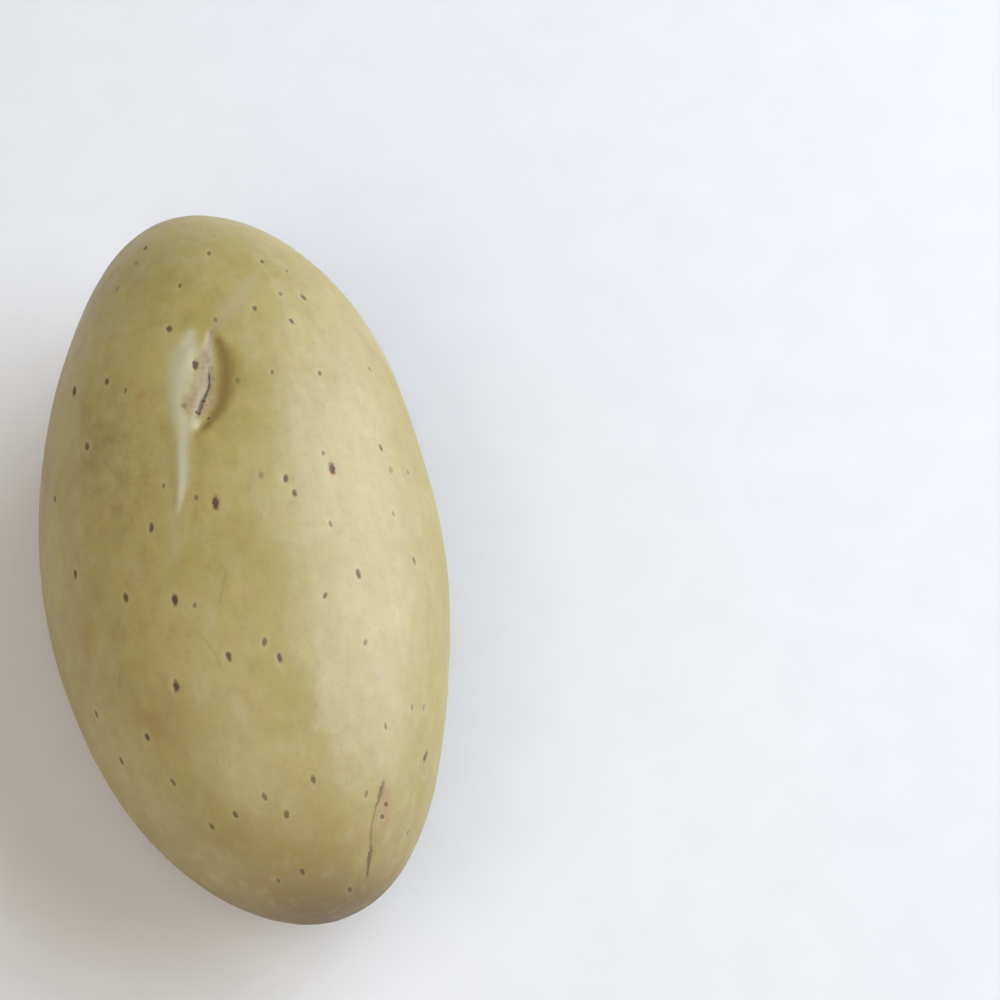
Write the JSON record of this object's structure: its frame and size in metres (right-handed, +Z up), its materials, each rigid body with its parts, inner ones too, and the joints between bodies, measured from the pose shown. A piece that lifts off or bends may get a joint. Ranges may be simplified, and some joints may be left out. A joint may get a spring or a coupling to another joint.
{
  "type": "potato",
  "caption": "Whole washed potato, a long oval tuber with smooth pale skin, shallow eyes and freckled pores, lying on a small flat spot.",
  "frame": {"origin": "on the surface that the potato rests on, under the middle of its box", "axes": "+Y along the potato's length, towards its narrower end; +Z up, away from the flat spot; X across its width"},
  "size_m": [0.07, 0.14, 0.057],
  "materials": {
    "skin": "washed yellow-brown potato skin with a dull satin sheen, dark pores and two shallow eyes"
  },
  "bodies": {
    "root": {"potato": "skin"}
  },
  "joints": []
}
